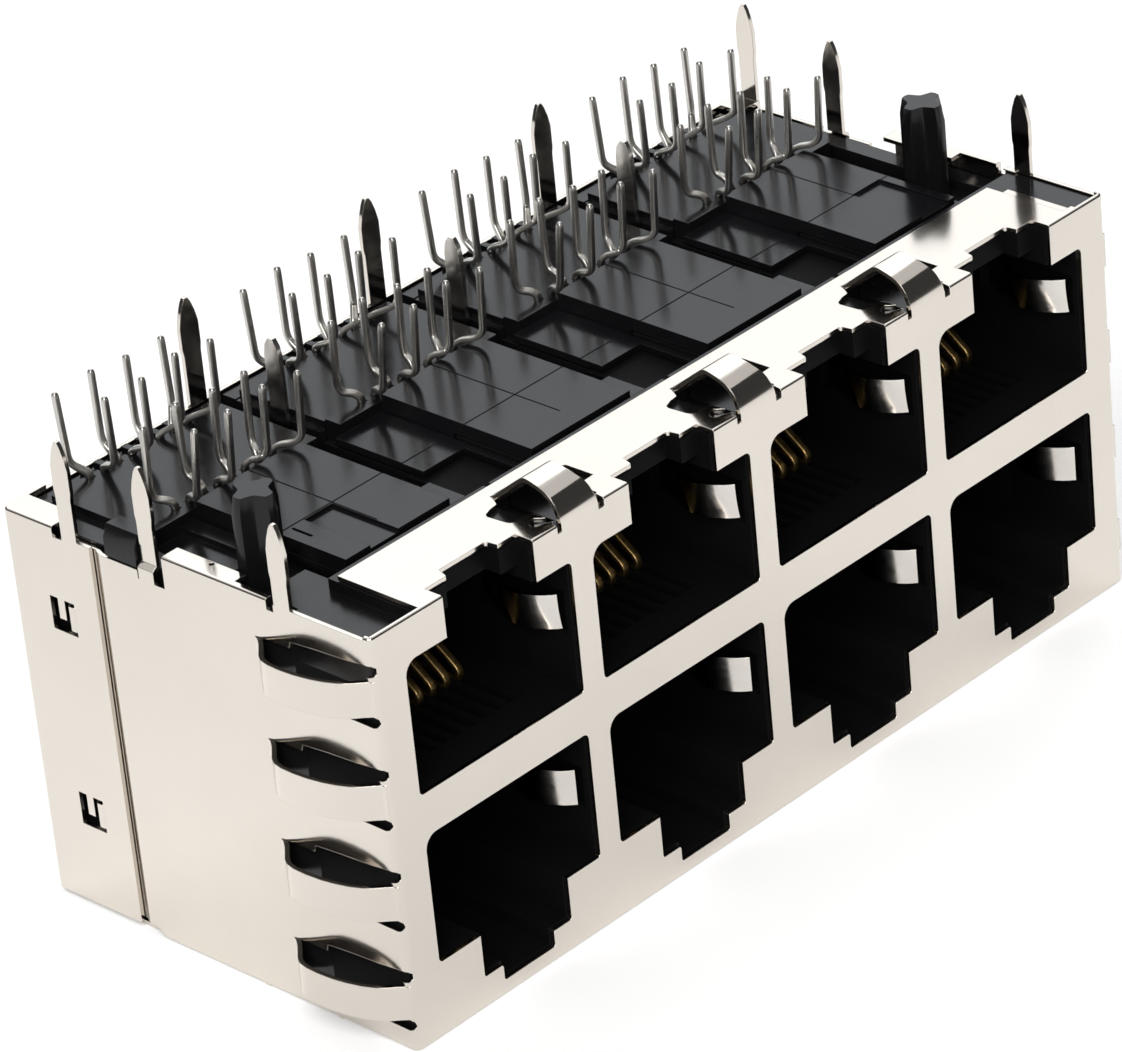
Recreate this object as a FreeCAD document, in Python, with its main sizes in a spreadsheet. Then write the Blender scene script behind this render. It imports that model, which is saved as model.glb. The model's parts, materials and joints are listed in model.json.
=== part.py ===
import FreeCAD, Part
import Sketcher
import os
import math

V = FreeCAD.Vector

# Stacked 2 x 4 shielded modular jack, eight ports, board side up.
# X runs across the four columns, Y from the port face to the rear,
# Z from the flat cover that it stands on up to the board side.
# Each piece is drawn with Y = 0 on the port face and then placed so that
# the origin is the middle of the footprint.

doc = FreeCAD.newDocument("board_jack")
sheet = doc.addObject("Spreadsheet::Sheet", "dims")
SIZES = [
    ("half_width", 29.37), ("depth", 27.15), ("flange_z", 24.75),
    ("sheet_thk", 0.25), ("port_pitch", 13.97), ("port_half", 6.19),
    ("up_low", 14.47), ("up_high", 22.31), ("down_low", 4.35), ("down_high", 11.99),
    ("key_left", 3.1), ("key_right", 3.6), ("key_deep_left", 1.7), ("key_deep_right", 2.2),
    ("key_shallow_z", 1.8), ("key_deep_z", 0.85),
    ("flange_left", 25.6), ("flange_right", 27.1), ("flange_depth", 5.9),
    ("notch_shallow", 1.0), ("notch_deep", 2.0),
    ("seam_y", 19.4), ("rear_top", 23.9), ("side_low_top", 23.35),
    ("lance_pitch", 6.08), ("lance_top", 22.2), ("lance_height", 2.05), ("lance_bow", 1.75),
    ("tail_top", 29.3), ("rear_tail_top", 30.0), ("tail_width", 1.12),
    ("contact_pitch", 1.02), ("contact_width", 0.46), ("contact_thk", 0.32),
    ("pin_top", 29.2), ("comb_front_y", 18.9), ("comb_rear_y", 25.4),
    ("cavity_half", 6.08), ("housing_half", 29.05), ("housing_back", 12.6),
    ("housing_top", 24.45), ("housing_low", 0.32), ("roof_high", 23.6), ("roof_low", 22.95),
    ("peg_x", 26.5), ("peg_y", 10.45), ("peg_radius", 1.46), ("peg_top", 28.85),
    ("block_half", 6.45), ("block_front", 12.75), ("tile_front", 7.1),
    ("tile_left", 2.85), ("tile_right", 4.85), ("tile_out", 6.5),
    ("tile_high", 24.45), ("tile_low", 23.75), ("plate_half", 4.3),
    ("side_tile_z", 23.45), ("side_tile_front", 11.6), ("side_tile_line", 13.2),
    ("divider_thk", 0.3), ("tail_thk", 0.25),
]
for row, (alias, value) in enumerate(SIZES, 1):
    sheet.set("A%d" % row, alias)
    sheet.set("B%d" % row, "%g" % value)
    sheet.setAlias("B%d" % row, alias)
doc.recompute()
D = {alias: float(getattr(sheet, alias)) for alias, value in SIZES}


class Size:
    """A length with its value and the text that binds it to the sheet."""

    def __init__(self, value, text):
        self.value = float(value)
        self.text = text

    def _join(self, other, sign, flip=False):
        o = size(other)
        a, b = (o, self) if flip else (self, o)
        value = {"+": a.value + b.value, "-": a.value - b.value, "*": a.value * b.value}[sign]
        return Size(value, "(%s %s %s)" % (a.text, sign, b.text))

    def __add__(self, o): return self._join(o, "+")
    def __radd__(self, o): return self._join(o, "+", True)
    def __sub__(self, o): return self._join(o, "-")
    def __rsub__(self, o): return self._join(o, "-", True)
    def __mul__(self, o): return self._join(o, "*")
    def __rmul__(self, o): return self._join(o, "*", True)
    def __neg__(self): return self._join(-1.0, "*")


def size(x):
    return x if isinstance(x, Size) else Size(x, "(%.6g)" % x)


def q(alias):
    return Size(D[alias], "dims.%s" % alias)


def column_x(k):
    return q("port_pitch") * (k - 1.5)


# ---------------------------------------------------------------- bodies
def new_body(label):
    body = doc.addObject("PartDesign::Body", label)
    body.Label = label
    body.setExpression("Placement.Base.y", "-dims.depth * 0.5")
    return body


def origin_plane(body, role):
    return [f for f in body.Origin.OriginFeatures if f.Role == role][0]


def sketch(body, name, role, level, outlines):
    """A sketch on one of the body's own planes; every corner is dimensioned."""
    sk = body.newObject("Sketcher::SketchObject", name)
    sk.AttachmentSupport = [(origin_plane(body, role), "")]
    sk.MapMode = "FlatFace"
    level = size(level)
    sk.AttachmentOffset = FreeCAD.Placement(V(0, 0, level.value), FreeCAD.Rotation())
    sk.setExpression("AttachmentOffset.Base.z", level.text)
    for pts in outlines:
        pts = [(size(a), size(b)) for a, b in pts]
        first = sk.GeometryCount
        n = len(pts)
        for i in range(n):
            a, b = pts[i], pts[(i + 1) % n]
            sk.addGeometry(Part.LineSegment(V(a[0].value, a[1].value, 0), V(b[0].value, b[1].value, 0)), False)
        for i in range(n):
            sk.addConstraint(Sketcher.Constraint("Coincident", first + i, 2, first + (i + 1) % n, 1))
        for i, (a, b) in enumerate(pts):
            for kind, s in (("DistanceX", a), ("DistanceY", b)):
                c = sk.addConstraint(Sketcher.Constraint(kind, -1, 1, first + i, 1, s.value))
                if "dims" in s.text:
                    sk.setExpression("Constraints[%d]" % c, s.text)
    return sk


def pad(body, name, sk, length, back=False):
    length = size(length)
    p = body.newObject("PartDesign::Pad", name)
    p.Profile = sk
    p.Length = length.value
    p.setExpression("Length", length.text)
    p.Reversed = back
    body.Tip = p
    return p


def pocket(body, name, sk, length, back=False):
    length = size(length)
    p = body.newObject("PartDesign::Pocket", name)
    p.Profile = sk
    p.Length = length.value
    p.setExpression("Length", length.text)
    p.Reversed = back
    body.Tip = p
    return p


def rect(x0, x1, y0, y1):
    return [(x0, y0), (x1, y0), (x1, y1), (x0, y1)]


def comb_edge(cx, half, back, front, tooth, gap_depth):
    """Block outline seen from above whose rear edge has a slot at each lead."""
    pts = [(cx - half, front), (cx + half, front), (cx + half, back)]
    for i in reversed(range(8)):
        x = cx + q("contact_pitch") * (i - 3.5)
        pts += [(x + tooth, back), (x + tooth, back - gap_depth),
                (x - tooth, back - gap_depth), (x - tooth, back)]
    pts += [(cx - half, back)]
    return pts


# ---------------------------------------------------------------- housing
# XZ sketches: sketch x is X and sketch y is Z; the plane's normal is -Y,
# so a level of -y sets the sketch at that depth and a reversed pad goes on to +Y.
housing = new_body("housing")
hw = q("housing_half")
low = q("housing_low")
top = q("housing_top")
front_block = sketch(housing, "housing_front", "XZ_Plane", -(q("sheet_thk") + 0.03),
                     [rect(-hw, hw, low, top)])
pad(housing, "front_pad", front_block, q("flange_depth") + 0.35, True)
outline = [(-hw, low), (hw, low), (hw, q("roof_low"))]
for k in reversed(range(4)):
    cx = column_x(k)
    outline += [(cx + q("tile_right") + 0.1, q("roof_low")), (cx + q("tile_right") + 0.1, q("roof_high")),
                (cx - q("tile_left") - 0.05, q("roof_high")), (cx - q("tile_left") - 0.05, q("roof_low"))]
outline += [(-hw, q("roof_low"))]
rear_block = sketch(housing, "housing_rear", "XZ_Plane", -q("flange_depth"), [outline])
pad(housing, "rear_pad", rear_block, q("housing_back") - q("flange_depth"), True)
# board-side rails along both ends, which carry the pegs, and the end walls behind them
rails = sketch(housing, "rails", "XY_Plane", q("roof_low") - 0.4,
               [rect(-hw, -(hw - 1.15), q("flange_depth"), q("housing_back")),
                rect(hw - 1.15, hw, q("flange_depth"), q("housing_back"))])
pad(housing, "rail_pad", rails, 1.05)
walls = sketch(housing, "end_walls", "XY_Plane", q("housing_low"),
               [rect(-(hw - 0.3), -(hw - 1.45), q("housing_back") - 0.2, q("comb_rear_y") + 1.0),
                rect(hw - 1.45, hw - 0.3, q("housing_back") - 0.2, q("comb_rear_y") + 1.0)])
pad(housing, "wall_pad", walls, q("tile_low") - 0.2 - q("housing_low"))
# boss of the left end wall, which stands out over the low part of the side wall
boss = sketch(housing, "wall_boss", "XZ_Plane", -17.03,
                [[(s * 28.0, 22.6), (s * 29.02, 22.6), (s * 29.02, 23.42), (s * 29.3, 23.42), (s * 29.3, 24.5), (s * 28.95, 25.2), (s * 28.0, 25.2)]
                 for s in (-1,)])
pad(housing, "boss_pad", boss, 2.33, True)
# latch ledges behind the flange, seen as steps in the gap
ledges = sketch(housing, "ledges", "XY_Plane", q("roof_low") - 0.3,
                [rect(-hw + 1.1, -hw + 4.2, q("flange_depth"), q("flange_depth") + 3.2)])
pad(housing, "ledge_pad", ledges, 1.1)
cavities = []
for k in range(4):
    cx = column_x(k)
    ch = q("cavity_half")
    cavities.append(rect(cx - ch, cx + ch, q("up_low") + 0.02, q("up_high") - 0.03))
    cavities.append([(cx - ch, q("down_high") - 0.02), (cx - ch, q("down_low") + 0.03),
                     (cx - q("key_left") + 0.12, q("down_low") + 0.03), (cx - q("key_left") + 0.12, q("key_shallow_z") + 0.12),
                     (cx - q("key_deep_left") + 0.12, q("key_shallow_z") + 0.12), (cx - q("key_deep_left") + 0.12, q("key_deep_z") + 0.12),
                     (cx + q("key_deep_right") - 0.12, q("key_deep_z") + 0.12), (cx + q("key_deep_right") - 0.12, q("key_shallow_z") + 0.12),
                     (cx + q("key_right") - 0.12, q("key_shallow_z") + 0.12), (cx + q("key_right") - 0.12, q("down_low") + 0.03),
                     (cx + ch, q("down_low") + 0.03), (cx + ch, q("down_high") - 0.02)])
cav = sketch(housing, "cavities", "XZ_Plane", 0.0, cavities)
pocket(housing, "cavity_pocket", cav, q("housing_back") + 2.0)
# keyways of the upper ports, closed by a thin roof behind the flange
keys = sketch(housing, "upper_keys", "XZ_Plane", 0.0,
              [rect(column_x(k) - q("key_left") + 0.12, column_x(k) + q("key_right") - 0.12,
                    q("up_high") - 0.5, q("roof_high") - 0.55) for k in range(4)])
pocket(housing, "key_pocket", keys, q("housing_back") + 2.0)
slots = []
for k in range(4):
    cx = column_x(k)
    slots.append([(cx - q("key_left") + 0.12, -1.0), (cx + q("key_right") - 0.12, -1.0),
                  (cx + q("key_right") - 0.12, q("notch_shallow") + 0.15), (cx + q("key_deep_right") - 0.0, q("notch_shallow") + 0.15),
                  (cx + q("key_deep_right") - 0.0, q("notch_deep") + 0.25), (cx - q("key_deep_left") + 0.0, q("notch_deep") + 0.25),
                  (cx - q("key_deep_left") + 0.0, q("notch_shallow") + 0.15), (cx - q("key_left") + 0.12, q("notch_shallow") + 0.15)])
slot_sk = sketch(housing, "key_slots", "XY_Plane", q("housing_top") + 0.5, slots)
pocket(housing, "slot_pocket", slot_sk, 2.4)
# room for the two contact plates between the upper and lower ports
mid = sketch(housing, "contact_rooms", "XZ_Plane", -2.55,
             [rect(column_x(k) - q("plate_half") - 0.05, column_x(k) + q("plate_half") + 0.05,
                   q("down_high") - 0.3, q("up_low") + 0.3) for k in range(4)])
pocket(housing, "contact_pocket", mid, q("housing_back") + 2.0)
# slots that hold the divider plates, and windows for their spring tabs
div = sketch(housing, "divider_slots", "XZ_Plane", -1.2,
             [rect(q("port_pitch") * (j - 1) - q("divider_thk") * 0.5 - 0.04,
                   q("port_pitch") * (j - 1) + q("divider_thk") * 0.5 + 0.04, 1.3, 26.0) for j in range(3)])
pocket(housing, "divider_pocket", div, q("housing_back") + 2.0)
win = []
roots = []
for k in range(4):
    cx = column_x(k)
    for z0 in (17.78, 7.13):
        win.append(rect(cx + q("cavity_half") - 0.4, cx + 6.6, z0, z0 + 2.56))
        roots.append(rect(cx + 6.5, cx + q("port_pitch") * 0.5 + 0.2, z0, z0 + 2.56))
win_sk = sketch(housing, "spring_windows", "XZ_Plane", -0.65, win)
pocket(housing, "window_pocket", win_sk, 6.65)
root_sk = sketch(housing, "spring_roots", "XZ_Plane", -5.9, roots)
pocket(housing, "root_pocket", root_sk, 1.4)
# recesses under the three board springs of the flange
wells = []
for j in range(3):
    x = q("port_pitch") * (j - 1)
    wells.append(rect(x - 1.5, x + 3.3, 0.9, 4.75))
well_sk = sketch(housing, "spring_wells", "XY_Plane", q("housing_top") + 0.5, wells)
pocket(housing, "well_pocket", well_sk, 1.3)
# the moulding is lower at the front left corner, beside the flange
corner_sk = sketch(housing, "corner_recess", "XY_Plane", q("housing_top") + 0.5,
                   [rect(-hw - 1.0, -q("flange_left") - 0.1, -1.0, q("flange_depth") + 0.8)])
pocket(housing, "corner_pocket", corner_sk, 1.2)
doc.recompute()


# fluted locating pegs, part of the same moulding
def peg_outline(x, y, r):
    pts = []
    # four narrow ribs with a hollow face between each two
    for i in range(4):
        for deg, k in ((-13, 0.97), (0, 1.0), (13, 0.97), (30, 0.70), (45, 0.62), (60, 0.70)):
            a = math.radians(deg + 90 * i)
            pts.append((x + r * (k * math.cos(a)), y + r * (k * math.sin(a))))
    return pts


peg_sk = sketch(housing, "peg_profile", "XY_Plane", q("housing_low") + 20.0,
                [peg_outline(-q("peg_x"), q("peg_y"), q("peg_radius")),
                 peg_outline(q("peg_x"), q("peg_y"), q("peg_radius"))])
pad(housing, "pegs", peg_sk, q("peg_top") - 0.95 - (q("housing_low") + 20.0))
for side in (-1, 1):
    tag = "left" if side < 0 else "right"
    wide = sketch(housing, "peg_wide_" + tag, "XY_Plane", q("peg_top") - 0.95,
                  [peg_outline(q("peg_x") * side, q("peg_y"), q("peg_radius"))])
    tip = sketch(housing, "peg_tip_" + tag, "XY_Plane", q("peg_top"),
                 [peg_outline(q("peg_x") * side, q("peg_y"), q("peg_radius") * 0.86)])
    loft = housing.newObject("PartDesign::AdditiveLoft", "peg_taper_" + tag)
    loft.Profile = wide
    loft.Sections = [tip]
    loft.Ruled = True
    housing.Tip = loft
doc.recompute()

# ---------------------------------------------------------------- carriers
for k in range(4):
    cx = column_x(k)
    half = q("block_half")
    n = k + 1
    back = q("comb_front_y") + 0.28
    # upper contact carrier: block, tiles over the port, grooved contact plate
    up = new_body("upper_carrier_%d" % n)
    sk = sketch(up, "up_block%d" % n, "XY_Plane", q("up_low") - 1.2,
                [comb_edge(cx, half, back, q("block_front"), 0.27, 0.95)])
    pad(up, "up_block_pad%d" % n, sk, q("roof_low") - 0.1 - (q("up_low") - 1.2))
    # comb top: teeth stand a little proud between the leads
    sk = sketch(up, "up_comb%d" % n, "XY_Plane", q("roof_low") - 0.3,
                [comb_edge(cx + 0.0, half - 0.35, back, q("comb_front_y") - 0.85, 0.25, 0.5)])
    pad(up, "up_comb_pad%d" % n, sk, q("tile_high") - 0.35 - (q("roof_low") - 0.3))
    # necks that carry the tiles on the block
    sk = sketch(up, "up_neck%d" % n, "XY_Plane", q("roof_low") - 0.2,
                [rect(cx - half + 0.35, cx + half - 0.35, q("block_front") + 0.2, q("comb_front_y") - 0.6)])
    pad(up, "up_neck_pad%d" % n, sk, 0.35)
    left0 = 0.0 if k else 2.45
    right0 = 0.0 if k < 3 else 0.88
    sk = sketch(up, "up_tiles%d" % n, "XY_Plane", q("roof_high") + 0.05,
                [rect(cx - q("tile_left"), cx + q("tile_right") - right0, q("tile_front"), q("comb_front_y") - 0.75)])
    pad(up, "up_tile_pad%d" % n, sk, q("tile_high") - (q("roof_high") + 0.05))
    sk = sketch(up, "up_tile_neck%d" % n, "XY_Plane", q("roof_low") + 0.1,
                [rect(cx - q("tile_left"), cx + q("tile_right") - right0, q("block_front") + 0.2, q("comb_front_y") - 0.75)])
    pad(up, "up_tile_neck_pad%d" % n, sk, 0.7)
    # fine parting lines of the mould across the tile
    sk = sketch(up, "up_lines%d" % n, "XY_Plane", q("tile_high") + 0.2,
                [[(cx - q("tile_left") - 0.5, 12.02), (cx - q("tile_left") - 0.5, 11.94), (cx + 1.06, 11.94), (cx + 1.06, q("tile_front") + 1.6),
                  (cx + 1.14, q("tile_front") + 1.6), (cx + 1.14, 11.94), (cx + q("tile_right") + 0.5, 11.94), (cx + q("tile_right") + 0.5, 12.02),
                  (cx + 1.14, 12.02), (cx + 1.14, q("comb_front_y")), (cx + 1.06, q("comb_front_y")), (cx + 1.06, 12.02)]])
    pocket(up, "up_lines_cut%d" % n, sk, 0.26)
    # lower tile beside it, whose front part is a hair lower, with a ledge on each side of the gap
    xo, xi = cx - q("tile_out") + left0, cx - q("tile_left") - 0.12
    yf, yl, yb = q("side_tile_front"), q("side_tile_line"), q("comb_front_y") - 0.75
    sk = sketch(up, "up_tile_low%d" % n, "XY_Plane", q("roof_low") + 0.05,
                [[(xo, yl - 0.02), (xi, yl - 0.02), (xi, yb), (xo, yb)]])
    pad(up, "up_low_pad%d" % n, sk, q("side_tile_z") - (q("roof_low") + 0.05))
    strip = [rect(xo, xi, yf, yl)]
    if k:
        strip = [[(xo, yf), (xi - 0.42, yf), (xi - 0.42, 6.65), (xi, 6.65), (xi, yl), (xo, yl)]]
    sk = sketch(up, "up_strip%d" % n, "XY_Plane", q("roof_low") + 0.05, strip)
    pad(up, "up_strip_pad%d" % n, sk, q("side_tile_z") - 0.04 - (q("roof_low") + 0.05))
    if k < 3:
        sk = sketch(up, "up_ledge%d" % n, "XY_Plane", q("roof_high") + 0.05,
                    [rect(cx + q("tile_right") - 0.3, cx + q("tile_right") + 1.2, q("tile_front") + 0.04, 9.75)])
        pad(up, "up_ledge_pad%d" % n, sk, 24.0 - (q("roof_high") + 0.05))
    # the end tiles have a shallow sunk corner
    if k == 0:
        sk = sketch(up, "up_sunk%d" % n, "XY_Plane", q("tile_high") + 0.1,
                    [rect(cx - 1.05, cx + 1.02, q("tile_front") - 0.5, 11.87), rect(cx - 2.15, cx - 1.97, 10.3, 11.75)])
        pocket(up, "up_sunk_cut%d" % n, sk, 0.3)
    if k == 3:
        sk = sketch(up, "up_sunk%d" % n, "XY_Plane", q("tile_high") + 0.1,
                    [rect(cx + 1.12, cx + 3.42, q("tile_front") - 0.5, 12.1)])
        pocket(up, "up_sunk_cut%d" % n, sk, 0.3)
    # contact plate with a groove for each contact
    pl = [(cx - q("plate_half"), q("up_low") - 1.1), (cx + q("plate_half"), q("up_low") - 1.1),
          (cx + q("plate_half"), q("up_low"))]
    for i in reversed(range(8)):
        x = cx + q("contact_pitch") * (i - 3.5)
        pl += [(x + 0.27, q("up_low")), (x + 0.27, q("up_low") - 0.48), (x - 0.27, q("up_low") - 0.48), (x - 0.27, q("up_low"))]
    pl += [(cx - q("plate_half"), q("up_low"))]
    sk = sketch(up, "up_plate%d" % n, "XZ_Plane", -2.65, [pl])
    pad(up, "up_plate_pad%d" % n, sk, q("comb_front_y") - 3.0, True)

    ch = sketch(up, "up_channel%d" % n, "XZ_Plane", -(q("block_front") - 0.2),
                [rect(cx + q("contact_pitch") * (i - 3.5) - 0.27, cx + q("contact_pitch") * (i - 3.5) + 0.27,
                      q("up_low") - 0.48, q("up_low") + 0.02) for i in range(8)])
    pocket(up, "up_channel_cut%d" % n, ch, 8.0)

    # lower contact carrier: block behind the upper one, with its contact plate
    lo = new_body("lower_carrier_%d" % n)
    b2 = q("comb_rear_y") + 0.28
    f2 = q("comb_front_y") + 0.34
    sk = sketch(lo, "lo_block%d" % n, "XY_Plane", 1.4, [comb_edge(cx, half, b2, f2, 0.27, 0.95)])
    pad(lo, "lo_block_pad%d" % n, sk, q("tile_low") - 0.3 - 1.4)
    sk = sketch(lo, "lo_top%d" % n, "XY_Plane", q("tile_low") - 0.6,
                [comb_edge(cx, half - 0.3, b2, f2, 0.25, 0.5)])
    pad(lo, "lo_top_pad%d" % n, sk, q("tile_low") + 0.22 - (q("tile_low") - 0.6))
    # ribbed foot under the upper block
    sk = sketch(lo, "lo_foot%d" % n, "XY_Plane", 1.4, [rect(cx - half, cx + half, q("block_front"), f2 + 0.5)])
    pad(lo, "lo_foot_pad%d" % n, sk, q("down_high") + 1.15 - 1.4)
    pl = [(cx - q("plate_half"), q("down_high")), (cx - q("plate_half"), q("down_high") + 1.15), (cx + q("plate_half"), q("down_high") + 1.15),
          (cx + q("plate_half"), q("down_high"))]
    for i in reversed(range(8)):
        x = cx + q("contact_pitch") * (i - 3.5)
        pl += [(x + 0.27, q("down_high")), (x + 0.27, q("down_high") + 0.48), (x - 0.27, q("down_high") + 0.48), (x - 0.27, q("down_high"))]
    sk = sketch(lo, "lo_plate%d" % n, "XZ_Plane", -2.65, [pl])
    pad(lo, "lo_plate_pad%d" % n, sk, q("block_front") + 0.5 - 2.65, True)
    # channel through the foot and block for the eight leads
    ch = sketch(lo, "lo_channel%d" % n, "XZ_Plane", -(q("block_front") - 0.2),
                [rect(cx + q("contact_pitch") * (i - 3.5) - 0.27, cx + q("contact_pitch") * (i - 3.5) + 0.27,
                      q("down_high") - 0.02, q("down_high") + 0.48) for i in range(8)])
    pocket(lo, "lo_channel_cut%d" % n, ch, 14.0)

    # rear lead retainer closes the back of the column
    rt = new_body("lead_retainer_%d" % n)
    f3 = q("comb_rear_y") + 0.34
    sk = sketch(rt, "rt_block%d" % n, "XY_Plane", 1.4, [rect(cx - half, cx + half, f3, q("depth") - q("sheet_thk") - 0.12)])
    pad(rt, "rt_pad%d" % n, sk, q("tile_low") - 0.25 - 1.4)
    teeth = []
    for i in range(7):
        x = cx + q("contact_pitch") * (i - 3.0)
        teeth.append(rect(x - 0.2, x + 0.2, f3 + 0.15, q("depth") - q("sheet_thk") - 0.3))
    sk = sketch(rt, "rt_teeth%d" % n, "XY_Plane", q("tile_low") - 0.6, teeth)
    pad(rt, "rt_teeth_pad%d" % n, sk, 0.75)
doc.recompute()

# ---------------------------------------------------------------- dividers
# one plate between each two columns: sketch x is Y, sketch y is Z
# outline of a ground spring, from the plate inwards and out again to its free end
TAB = [(0.1, 6.9), (-0.1, 6.9), (-0.35, 6.62), (-0.7, 6.2), (-1.1, 5.68), (-1.5, 5.1), (-1.82, 4.58), (-2.03, 4.1), (-2.14, 3.66), (-2.16, 3.2),
       (-2.1, 2.76), (-1.96, 2.32), (-1.76, 1.9), (-1.54, 1.54), (-1.3, 1.24), (-1.08, 1.02), (-0.94, 1.18), (-1.14, 1.38), (-1.36, 1.66),
       (-1.58, 2.02), (-1.76, 2.42), (-1.88, 2.82), (-1.94, 3.22), (-1.92, 3.6), (-1.82, 4.02), (-1.62, 4.46), (-1.31, 4.98), (-0.92, 5.54), (-0.52, 6.08), (-0.1, 6.56), (0.1, 6.75)]
for j in range(3):
    x = q("port_pitch") * (j - 1)
    dv = new_body("divider_plate_%d" % (j + 1))
    ty = 21.65
    y0, y1 = 1.35, q("depth") - q("sheet_thk") - 0.45
    zt = q("roof_low") - 0.6
    tw = q("tail_width") * 0.5
    tail = [(ty + tw, zt), (ty + tw, q("tail_top") - 1.75), (ty + tw * 0.78, q("tail_top") - 1.05),
            (ty + tw * 0.3, q("tail_top") - 0.65), (ty - tw * 0.3, q("tail_top") - 0.65),
            (ty - tw * 0.78, q("tail_top") - 1.05), (ty - tw, q("tail_top") - 1.75), (ty - tw, zt)]
    sk = sketch(dv, "dv_outline%d" % j, "YZ_Plane", x - q("divider_thk") * 0.5,
                [[(y0, 1.6), (y1, 1.6), (y1, zt)] + tail + [(y0, zt)]])
    pad(dv, "dv_pad%d" % j, sk, q("divider_thk"))
    # spring tabs that lean into the port on the left
    for m, z0 in enumerate((18.0, 7.35)):
        sk = sketch(dv, "dv_tab%d_%d" % (j, m), "XY_Plane", z0,
                    [[(x + v, y) for v, y in TAB]])
        pad(dv, "dv_tab_pad%d_%d" % (j, m), sk, 2.12)

# end plate with the same tabs for the right-hand column
end = new_body("end_spring_plate")
x = q("housing_half") + 0.0
ex = q("port_pitch") * 2 - 0.0
sk = sketch(end, "end_outline", "YZ_Plane", ex - q("divider_thk") * 0.5,
            [[(1.35, 4.2), (11.6, 4.2), (11.6, 21.8), (1.35, 21.8)]])
pad(end, "end_pad", sk, q("divider_thk"))
for m, z0 in enumerate((18.0, 7.35)):
    sk = sketch(end, "end_tab%d" % m, "XY_Plane", z0,
                [[(ex + v, y) for v, y in TAB]])
    pad(end, "end_tab_pad%d" % m, sk, 2.12)
# its slot in the housing
es = sketch(housing, "end_slot", "XZ_Plane", -1.2,
            [rect(ex - q("divider_thk") * 0.5 - 0.04, ex + q("divider_thk") * 0.5 + 0.04, 4.1, 21.9)])
pocket(housing, "end_pocket", es, q("housing_back") - 0.8)
doc.recompute()


# ---------------------------------------------------------------- folded and bent metal
def box(x0, x1, y0, y1, z0, z1):
    return Part.makeBox(x1 - x0, y1 - y0, z1 - z0, V(x0, y0, z0))


def prism(pts, direction):
    return Part.Face(Part.makePolygon([V(*p) for p in pts] + [V(*pts[0])])).extrude(V(*direction))


def put(label, shape):
    f = doc.addObject("Part::Feature", label)
    f.Label = label
    f.Shape = shape
    f.Placement = FreeCAD.Placement(V(0, -D["depth"] * 0.5, 0), FreeCAD.Rotation())
    return f


def offset_strip(path, thk):
    """Closed outline of a bent strip of even thickness, from its outer line."""
    out, inn = [], []
    n = len(path)
    for i, p in enumerate(path):
        a = path[max(i - 1, 0)]
        b = path[min(i + 1, n - 1)]
        d1 = (p[0] - a[0], p[1] - a[1]) if i else (b[0] - p[0], b[1] - p[1])
        d2 = (b[0] - p[0], b[1] - p[1]) if i < n - 1 else d1
        l1, l2 = math.hypot(*d1), math.hypot(*d2)
        n1 = (-d1[1] / l1, d1[0] / l1)
        n2 = (-d2[1] / l2, d2[0] / l2)
        m = (n1[0] + n2[0], n1[1] + n2[1])
        c = (m[0] * n1[0] + m[1] * n1[1])
        m = (m[0] / c, m[1] / c)
        out.append(p)
        inn.append((p[0] + m[0] * thk, p[1] + m[1] * thk))
    return out + inn[::-1]


def round_edges(shape, radius, test):
    edges = [e for e in shape.Edges if test(e)]
    return shape.makeFillet(radius, edges) if edges else shape


def tail_blade(x, y, z0, z1, width, thk, along="y", point=1.0, lean=0.0):
    """Solder tail of the shield: a blade with a leaf-shaped end."""
    w = width * 0.5
    prof = [(-w, z0), (w, z0), (w, z1 - 3.3), (w * 1.12, z1 - 2.9), (w * 1.12, z1 - 1.6), (w * 0.86, z1 - 0.9),
            (w * 0.5, z1 - 0.3), (w * 0.2, z1), (-w * 0.2, z1), (-w * 0.5, z1 - 0.3), (-w * 0.86, z1 - 0.9),
            (-w * 1.12, z1 - 1.6), (-w * 1.12, z1 - 2.9), (-w, z1 - 3.3)]
    if along == "y":
        return prism([(x, y + a + lean * max(0.0, b - z0 - 1.0), b) for a, b in prof], (thk, 0, 0))
    return prism([(x + a, y, b) for a, b in prof], (0, thk, 0))


W2, DEP, HZ, T = D["half_width"], D["depth"], D["flange_z"], D["sheet_thk"]
P = D["port_pitch"]


def vertical(e):
    return abs(e.Vertexes[0].X - e.Vertexes[-1].X) < 1e-6 and abs(e.Vertexes[0].Y - e.Vertexes[-1].Y) < 1e-6


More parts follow.
